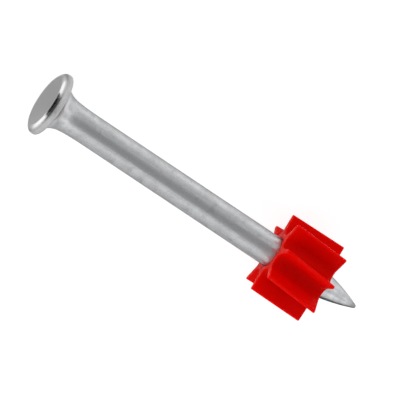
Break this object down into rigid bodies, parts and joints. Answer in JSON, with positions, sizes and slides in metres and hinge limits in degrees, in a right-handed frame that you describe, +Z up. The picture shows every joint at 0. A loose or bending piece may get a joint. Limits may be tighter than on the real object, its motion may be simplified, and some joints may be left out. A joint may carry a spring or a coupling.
{
  "type": "powder-actuated nail",
  "caption": "Flat-headed steel drive pin with a curved point and a finned plastic guide sleeve pressed on behind the point, lying on its side.",
  "frame": {"origin": "bottom centre of the bounding box, on the surface the nail lies on, below the middle of its length", "axes": "+X from the drive face towards the tip, in the upright plane of the nail's axis, which rises 1.24 degrees towards the tip; +Z up"},
  "size_m": [0.044, 0.0096, 0.0095],
  "materials": {
    "zinc_plated_steel": "satin zinc plating, slightly mottled, with faint lines along the shank",
    "red_plastic": "smooth moulded, soft gloss"
  },
  "bodies": {
    "root": {"nail": "zinc_plated_steel", "guide_sleeve": "red_plastic"}
  },
  "joints": []
}
